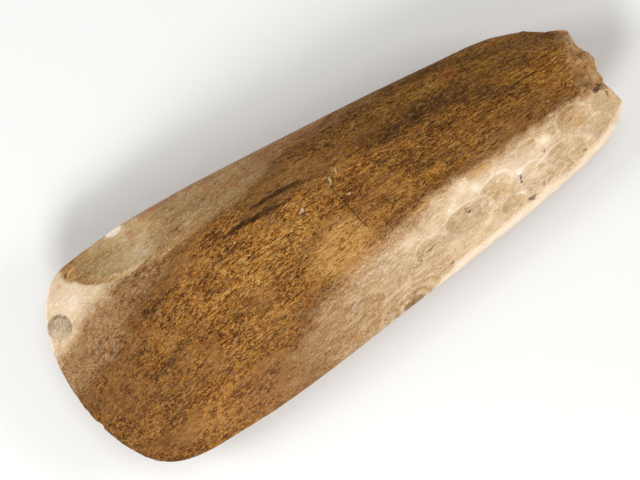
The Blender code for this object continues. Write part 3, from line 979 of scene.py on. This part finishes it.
def build_skin(low, high):
    """The skin of the whole stone, in the place of the part."""
    points, faces = skin_grid()
    points = trim_outline(points)
    for centre, radii in CHIPS:
        points = push_out_of_ball(points, np.array(centre), np.array(radii))
    for scar in CORNER_PRESSES:
        points = press_scar(points, *scar)
    mesh = write_mesh("stone_skin", points, faces)
    points = read_points(mesh)
    deep = relief(points * 1000) / 1000
    move_points(mesh, points - read_points(mesh, "normals") * deep[:, None])
    skin = bpy.data.objects.new("stone_skin", mesh)
    bpy.context.scene.collection.objects.link(skin)
    mesh = cut_butt(skin, break_cutter())
    mesh.name = "stone_skin"
    points = read_points(mesh)
    add_zones(mesh, points * 1000, read_points(mesh, "normals")[:, 0])
    shift = np.array([low[0], 0, BELLY_DEPTH - REST_FLAT_DEPTH])
    move_points(mesh, np.clip(points + shift, np.array(low), np.array(high)))
    mesh.polygons.foreach_set("use_smooth", np.ones(len(mesh.polygons), bool))
    mesh.set_sharp_from_angle(angle=math.radians(SHARP_ANGLE))
    return skin


# The material


def srgb(red, green, blue):
    """A colour as a screen shows it, 0 to 255, made linear."""
    return tuple(((c / 255 + 0.055) / 1.055) ** 2.4 for c in (red, green, blue)) + (1,)


class Graph:
    """A little help to write a material's nodes as formulas."""

    def __init__(self, material):
        self.tree = material.node_tree
        self.flow = self.attribute("flow")

    def add(self, kind, settings=None, **inputs):
        node = self.tree.nodes.new(kind)
        for key, value in (settings or {}).items():
            setattr(node, key, value)
        for key, value in inputs.items():
            self.put(node.inputs[key.replace("_", " ")], value)
        return node

    def put(self, socket, value):
        if isinstance(value, bpy.types.NodeSocket):
            self.tree.links.new(value, socket)
        else:
            socket.default_value = value

    def fill(self, node, sockets, values):
        for socket, value in zip(sockets, values):
            self.put(node.inputs[socket], value)

    def math(self, operation, *values):
        node = self.add("ShaderNodeMath", {"operation": operation})
        self.fill(node, (0, 1), values)
        return node.outputs[0]

    def times(self, *values):
        """The product of values."""
        result = values[0]
        for value in values[1:]:
            result = self.math("MULTIPLY", result, value)
        return result

    def total(self, *terms):
        """The sum of pairs of a value and its weight."""
        result = None
        for value, weight in terms:
            term = self.times(value, weight)
            result = term if result is None else self.math("ADD", result, term)
        return result

    def remap(self, value, low, high, to_low=0, to_high=1):
        node = self.add("ShaderNodeMapRange", {"interpolation_type": "SMOOTHSTEP"})
        names = ("Value", "From Min", "From Max", "To Min", "To Max")
        self.fill(node, names, (value, low, high, to_low, to_high))
        return node.outputs[0]

    def blend(self, share, first, second, kind="MIX"):
        node = self.add("ShaderNodeMix", {"data_type": "RGBA", "blend_type": kind})
        self.fill(node, (0, 6, 7), (share, first, second))
        return node.outputs[2]

    def tinted(self, colour, tint):
        return self.blend(1, colour, tint, "MULTIPLY")

    def lay(self, colour, *layers):
        """The colour with layers over it, each of them a zone, a weight and a tone."""
        for zone, weight, tone in layers:
            colour = self.blend(self.times(zone, weight), colour, tone)
        return colour

    def attribute(self, name):
        return self.add("ShaderNodeAttribute", {"attribute_name": name}).outputs["Vector"]

    def split(self, vector):
        return self.add("ShaderNodeSeparateXYZ", Vector=vector).outputs

    def noise(self, stretch, scale, detail, rough, seed):
        """Centred noise along the grain: about -0.3 to 0.3."""
        place = (seed, seed * 0.7, -seed)
        mapping = self.add(
            "ShaderNodeMapping", Vector=self.flow, Scale=(stretch, 1, 1), Location=place
        )
        node = self.add(
            "ShaderNodeTexNoise", Vector=mapping.outputs[0], Scale=scale, Detail=detail, Roughness=rough
        )
        return self.math("SUBTRACT", node.outputs["Fac"], 0.5)

    def thin_lines(self, followed, placed, shown, width):
        """Lines where one noise crosses its middle, in the places where another is high."""
        crossing = self.math("ABSOLUTE", self.noise(*followed))
        where = self.remap(self.noise(*placed), *shown)
        return self.times(self.remap(crossing, 0, width, 1, 0), where)

    def ramp(self, value, stops):
        """Colours over a value. Each stop is its position and its red, green and blue."""
        node = self.tree.nodes.new("ShaderNodeValToRGB")
        elements = node.color_ramp.elements
        while len(elements) < len(stops):
            elements.new(0.5)
        for element, (position, *colour) in zip(elements, stops):
            element.position = position
            element.color = srgb(*colour)
        self.put(node.inputs[0], value)
        return node.outputs[0]


# The noises that the surface is made of. Each has its scale along the grain against across it,
# its scale, its detail, its roughness and its seed.
NOISES = {
    "drift": (0.5, 0.085, 2, 0.5, 1),
    "patch": (0.4, 0.24, 2, 0.5, 7),
    "streak": (0.24, 0.85, 3, 0.6, 3),
    "grain": (0.36, 1.7, 3, 0.65, 5),
    "grit": (0.55, 3.4, 2, 0.6, 9),
    "mottle": (0.8, 0.3, 3, 0.55, 11),
    "tint": (0.7, 0.62, 3, 0.6, 13),
    "speckle": (1, 2.4, 2, 0.5, 17),
    "pitting": (0.5, 1.15, 2, 0.55, 27),
    "grains": (0.45, 1.1, 2, 0.55, 31),
    "flecks": (0.8, 1.9, 2, 0.6, 37),
}
# Thin lines: the noise that they follow, the noise of their places, the range of that noise over
# which they appear, and their width
CRACKS = ((0.2, 0.55, 3, 0.6, 21), (0.4, 0.2, 2, 0.5, 23), (-0.02, 0.08), 0.035)
# Thin dark strokes in the crust: painted shadows beside its small flakes
FLAKE_SHADOW_LINES = ((0.28, 1.2, 2, 0.6, 41), (0.5, 0.5, 2, 0.5, 43), (0, 0.09), 0.03)
# Thin pale strokes in the crust: painted highlights on its small flakes' edges
FLAKE_HIGHLIGHT_LINES = ((0.26, 1.1, 2, 0.6, 47), (0.5, 0.5, 2, 0.5, 49), (0, 0.09), 0.03)
VEINS = ((0.55, 0.34, 3, 0.55, 53), (0.6, 0.16, 2, 0.5, 55), (-0.02, 0.07), 0.018)
HAIRLINES = ((0.45, 0.26, 3, 0.6, 57), (0.6, 0.16, 2, 0.5, 59), (0.02, 0.09), 0.012)
# Tones of the crust, from the bottoms of its pits to its lightest grains
CRUST_TONES = (
    (0.08, 62, 29, 3), (0.28, 109, 60, 9), (0.44, 155, 95, 23),
    (0.56, 184, 122, 39), (0.72, 218, 158, 72), (0.92, 247, 203, 126),
)
DARK_TONES = (
    (0.08, 50, 22, 0), (0.3, 93, 51, 1), (0.48, 136, 84, 8),
    (0.64, 173, 114, 24), (0.9, 222, 166, 70),
)
BLADE_PAINTED_SHADE = (0.70, 0.68, 0.66, 1.0)  # painted shade: the crust is darkened near the blade, as if less light fell there
FILM = srgb(160, 114, 66)  # a smoother film over parts of the crust
# Tones by how pale the stone is, at PALE_TOP times the position
PALE_TOP = 1.25
PALE_TONES = (
    (0, 130, 84, 34), (0.2, 142, 101, 56), (0.34, 158, 124, 82),
    (0.5, 183, 157, 122), (0.66, 207, 184, 152), (0.8, 223, 204, 178),
    (1, 246, 235, 221),
)
WARM_TINT = (1.0, 0.955, 0.77, 1.0)  # the left side and the corner's scar are yellower
GOLD_TONES = ((0.3, 170, 116, 48), (0.52, 202, 150, 76), (0.75, 230, 186, 116))
# Tones of the fresh break: its own tan, made much paler with painted light, as if the break, which faces
# the butt, were lit as brightly as the upper face
BREAK_TONES_WITH_PAINTED_LIGHT = (
    (0.18, 134, 82, 38), (0.4, 230, 168, 102), (0.58, 253, 202, 136),
    (0.8, 255, 232, 190),
)
BUMP_DEPTH = 0.0008  # in metres
STAIN_TONES = ((0.32, 100, 82, 58), (0.5, 140, 121, 94), (0.68, 176, 156, 128))


def read_stone(g):
    """All zones and noises of the surface under their names."""
    s = SimpleNamespace(**{name: g.noise(*values) for name, values in NOISES.items()})
    s.pale, s.dark, s.smooth = g.split(g.attribute("zone_a"))
    s.line, s.pit, s.speck = g.split(g.attribute("zone_b"))
    s.broken, s.stain, s.gold = g.split(g.attribute("zone_c"))
    s.step, s.ember, s.band = g.split(g.attribute("zone_d"))
    s.lift, s.warm, s.step_shown = g.split(g.attribute("zone_e"))
    s.rough = g.math("SUBTRACT", 1, s.smooth)
    s.crack = g.times(g.thin_lines(*CRACKS), s.rough)
    # Painted shadows and highlights on the crust's small flakes
    s.crease = g.times(g.thin_lines(*FLAKE_SHADOW_LINES), s.rough)
    s.edge = g.times(g.thin_lines(*FLAKE_HIGHLIGHT_LINES), s.rough)
    s.vein = g.times(g.thin_lines(*VEINS), g.remap(s.pale, 0.35, 0.7))
    s.hairline = g.times(g.thin_lines(*HAIRLINES), g.remap(s.pale, 0.25, 0.5))
    s.pits = g.times(g.remap(s.pitting, 0.1, 0.19), s.rough)
    s.grains = g.remap(s.grains, 0.06, 0.17)
    # A film calms parts of the crust
    s.calm = g.remap(g.total((s.drift, 0.9), (s.patch, 0.5), (s.mottle, 0.3)), 0, 0.14)
    lively = g.math("SUBTRACT", 1.15, g.times(s.calm, 0.55))
    gritted = g.times(g.total((s.grain, 1.35), (s.grit, 1.45)), lively)
    s.texture = g.math("ADD", g.total((s.drift, 0.22), (s.patch, 0.34), (s.streak, 0.85)), gritted)
    return s


def crust_colour(g, s):
    """The rough brown crust, with its film, grains, pits and cracks, painted shadows and highlights on
    its small flakes, and painted shade near the blade.
    """
    mixed = g.math("ADD", g.math("ADD", s.texture, 0.5), s.lift)
    crust = g.blend(g.times(s.dark, 0.92), g.ramp(mixed, CRUST_TONES), g.ramp(mixed, DARK_TONES))
    reddish = g.blend(g.remap(s.tint, 0.03, 0.16, 0, 0.4), crust, srgb(150, 78, 34))
    crust = g.blend(s.rough, crust, reddish)
    crust = g.lay(
        crust,
        (s.calm, g.remap(s.dark, 0, 1, 0.42, 0.1), FILM),
        (s.grains, 0.45, srgb(226, 166, 92)),
        # painted highlights and shadows on the flakes' edges
        (s.edge, 0.4, srgb(236, 194, 146)),
        (s.pits, 0.42, srgb(66, 36, 13)),
        (s.crease, 0.6, srgb(60, 32, 10)),
        (s.crack, 0.6, srgb(56, 30, 10)),
    )
    # Painted shade: the crust darkens towards the blade, as if less light fell there
    painted_shade_near_blade = g.remap(g.split(g.flow)[0], 66, 6)
    return g.blend(painted_shade_near_blade, crust, g.tinted(crust, BLADE_PAINTED_SHADE))


def polish_colour(g, s, polished):
    """The cream polish, smoothest where it is palest, and golden in places."""
    uneven = g.times(s.texture, g.remap(s.pale, 0.2, 0.9, 0.62, 0.42))
    uneven = g.math("ADD", uneven, g.total((s.mottle, 0.42), (s.speckle, 0.44)))
    level = g.math("ADD", s.pale, g.times(uneven, polished))
    polish = g.ramp(g.math("DIVIDE", level, PALE_TOP), PALE_TONES)
    pinkish = g.tinted(polish, srgb(255, 247, 246))
    yellowish = g.tinted(polish, srgb(252, 246, 230))
    polish = g.blend(g.remap(s.tint, -0.1, 0.1), pinkish, yellowish)
    polish = g.blend(s.warm, polish, g.tinted(polish, WARM_TINT))
    gold_tone = g.ramp(g.math("ADD", 0.5, g.times(s.texture, 0.55)), GOLD_TONES)
    return g.lay(polish, (s.gold, g.remap(s.pale, 0.3, 0.95, 0.8, 0.1), gold_tone))


def ground_colour(g, s):
    """Crust and polish together, and the small marks on the polish."""
    polished = g.remap(s.pale, 0.8, 0.98, 1, 0.45)
    shown = g.math("ADD", s.pale, g.total((s.texture, 0.45), (s.streak, 0.35)))
    colour = g.blend(g.remap(shown, 0.02, 0.42), crust_colour(g, s), polish_colour(g, s, polished))
    return g.lay(
        colour,
        (s.vein, 0.42, srgb(250, 238, 222)),
        (s.hairline, 0.5, srgb(138, 100, 62)),
        (g.remap(s.flecks, 0.12, 0.22, 0, 0.38), polished, srgb(140, 98, 52)),
        (g.remap(s.flecks, -0.13, -0.22), g.times(s.pale, 0.45), srgb(250, 240, 228)),
    )


def marked_colour(g, s, colour):
    """The stain, the break with its painted light, the bands, grooves, the step's painted shadow, the
    pits, embers and specks.
    """
    stain_tone = g.ramp(g.math("ADD", 0.5, g.total((s.texture, 0.5), (s.speckle, 0.6))), STAIN_TONES)
    hackled = g.total((s.mottle, 0.75), (s.patch, 0.55), (s.tint, 0.45), (s.grain, 0.9))
    # The break's own tan with painted light on it
    painted_lit_break_tone = g.ramp(g.math("ADD", hackled, 0.5), BREAK_TONES_WITH_PAINTED_LIGHT)
    wavering = g.total((s.grain, 1.1), (s.grit, 0.8))
    groove = g.remap(g.math("ADD", s.line, wavering), -0.15, 0.3, 0.78, 0)
    # Painted shadow: a thin dark line along the step's wall
    step_shadow = g.math("ADD", g.math("SUBTRACT", s.step, 0.15), g.times(s.grain, 0.8))
    step_shadow = g.remap(g.math("ABSOLUTE", step_shadow), 0.04, 0.36, 0.66, 0)
    pitted = g.remap(g.math("ADD", s.pit, g.times(wavering, 1.2)), -0.15, 0.2, 0.85, 0)
    dotted = g.remap(g.math("ADD", s.speck, g.times(wavering, 0.8)), -0.12, 0.16, 0.8, 0)
    return g.lay(
        colour,
        (s.stain, 0.85, stain_tone),
        (s.broken, 1, painted_lit_break_tone),
        (s.band, g.remap(s.grain, -0.14, 0.14, 1.2, 0.7), srgb(62, 35, 9)),
        (groove, 1, srgb(66, 37, 12)),
        (step_shadow, s.step_shown, srgb(70, 42, 16)),
        (pitted, 1, srgb(88, 63, 36)),
        (s.ember, 0.4, srgb(186, 88, 38)),
        (dotted, 1, srgb(240, 214, 170)),
    )


def stone_material():
    material = bpy.data.materials.new("stone_crust_and_polish")
    material.use_nodes = True
    g = Graph(material)
    s = read_stone(g)
    shader = material.node_tree.nodes["Principled BSDF"]
    g.put(shader.inputs["Base Color"], marked_colour(g, s, ground_colour(g, s)))

    gritty = g.math("MAXIMUM", s.rough, g.times(s.broken, 0.9))
    shine = g.remap(gritty, 0, 0.8, 0.34, 0.8)
    g.put(shader.inputs["Roughness"], g.math("ADD", shine, g.times(s.grit, 0.25)))

    coarse = g.total((s.streak, 1), (s.patch, 0.5), (s.pits, -0.2), (s.crack, -0.25), (s.crease, -0.15))
    fine = g.total((s.grain, 1.2), (s.grit, 0.9), (s.grains, 0.12), (s.edge, 0.1), (s.hairline, -0.25))
    bump = {"Strength": g.remap(gritty, 0, 0.8, 0.25, 1), "Distance": BUMP_DEPTH}
    lower = g.add("ShaderNodeBump", Height=coarse, **bump)
    upper = g.add("ShaderNodeBump", Height=fine, Normal=lower.outputs[0], **bump)
    g.put(shader.inputs["Normal"], upper.outputs[0])
    shader.inputs["Specular IOR Level"].default_value = 0.24
    return material


# The floor, the lights and the camera

MM_PER_PIXEL = 0.2908
PHOTO_WIDTH = 640
PHOTO_TURN = 32.0  # the stone's length rises this much to the right in the photo
SENSOR_WIDTH = 36.0
CAMERA_HEIGHT = 0.75
VIEW_CENTRE_U = 84.24
FLOOR_REACH = 2.0
FLOOR_COLOUR = (0.78, 0.78, 0.77, 1.0)
SKY_COLOUR = (1.0, 0.99, 0.97, 1.0)
SKY_STRENGTH = 0.28
# Soft square lights: name, direction in the photo (0 right, 90 up), rise, distance, size, watts
LIGHTS = (
    ("key", -96, 36, 1, 0.35, 7.2),
    ("left", 188, 38, 1, 0.35, 3.8),
    ("right", 12, 30, 1, 0.35, 3.2),
    ("above", 80, 75, 1.3, 0.5, 3.2),
)


def add_object(name, data):
    thing = bpy.data.objects.new(name, data)
    bpy.context.scene.collection.objects.link(thing)
    return thing


def add_floor():
    corners = FLOOR_REACH * np.array([[-1, -1, 0], [1, -1, 0], [1, 1, 0], [-1, 1, 0]])
    mesh = write_mesh("floor", corners, [[0, 1, 2, 3]])
    material = bpy.data.materials.new("pale_floor")
    material.use_nodes = True
    shader = material.node_tree.nodes["Principled BSDF"]
    shader.inputs["Base Color"].default_value = FLOOR_COLOUR
    shader.inputs["Roughness"].default_value = 0.8
    mesh.materials.append(material)
    floor = add_object("floor", mesh)


def add_light(name, turn, rise, distance, size, watts):
    light = bpy.data.lights.new(name, "AREA")
    light.size = size
    light.energy = watts
    lamp = add_object(name, light)
    angle = math.radians(turn - PHOTO_TURN)
    lift = math.radians(rise)
    way = Vector((math.cos(angle) * math.cos(lift), math.sin(angle) * math.cos(lift), math.sin(lift)))
    lamp.location = way * distance
    lamp.rotation_euler = way.to_track_quat("Z", "Y").to_euler()


def add_sky():
    world = bpy.data.worlds.new("studio")
    bpy.context.scene.world = world
    world.use_nodes = True
    background = world.node_tree.nodes["Background"]
    background.inputs["Color"].default_value = SKY_COLOUR
    background.inputs["Strength"].default_value = SKY_STRENGTH


def add_camera(low):
    """A camera straight above the stone. Its lens fits the photo's width at the stone's middle."""
    camera = bpy.data.cameras.new("camera")
    camera.sensor_width = SENSOR_WIDTH
    width = PHOTO_WIDTH * MM_PER_PIXEL / 1000
    stone_plane = BELLY_DEPTH - REST_FLAT_DEPTH
    camera.lens = SENSOR_WIDTH * (CAMERA_HEIGHT - stone_plane) / width
    camera.clip_start = 0.01
    holder = add_object("camera", camera)
    holder.location = (low[0] + VIEW_CENTRE_U / 1000, 0, CAMERA_HEIGHT)
    holder.rotation_euler = (0, 0, math.radians(-PHOTO_TURN))
    bpy.context.scene.camera = holder


def main():
    for old in list(bpy.data.objects):
        bpy.data.objects.remove(old)
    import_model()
    low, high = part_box("axe_head")
    skin = build_skin(low, high)
    skin.data.materials.clear()
    skin.data.materials.append(stone_material())
    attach(skin, "root")
    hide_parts("axe_head")
    add_floor()
    for light in LIGHTS:
        add_light(*light)
    add_sky()
    bpy.context.scene.view_settings.view_transform = "Standard"
    add_camera(low)


main()
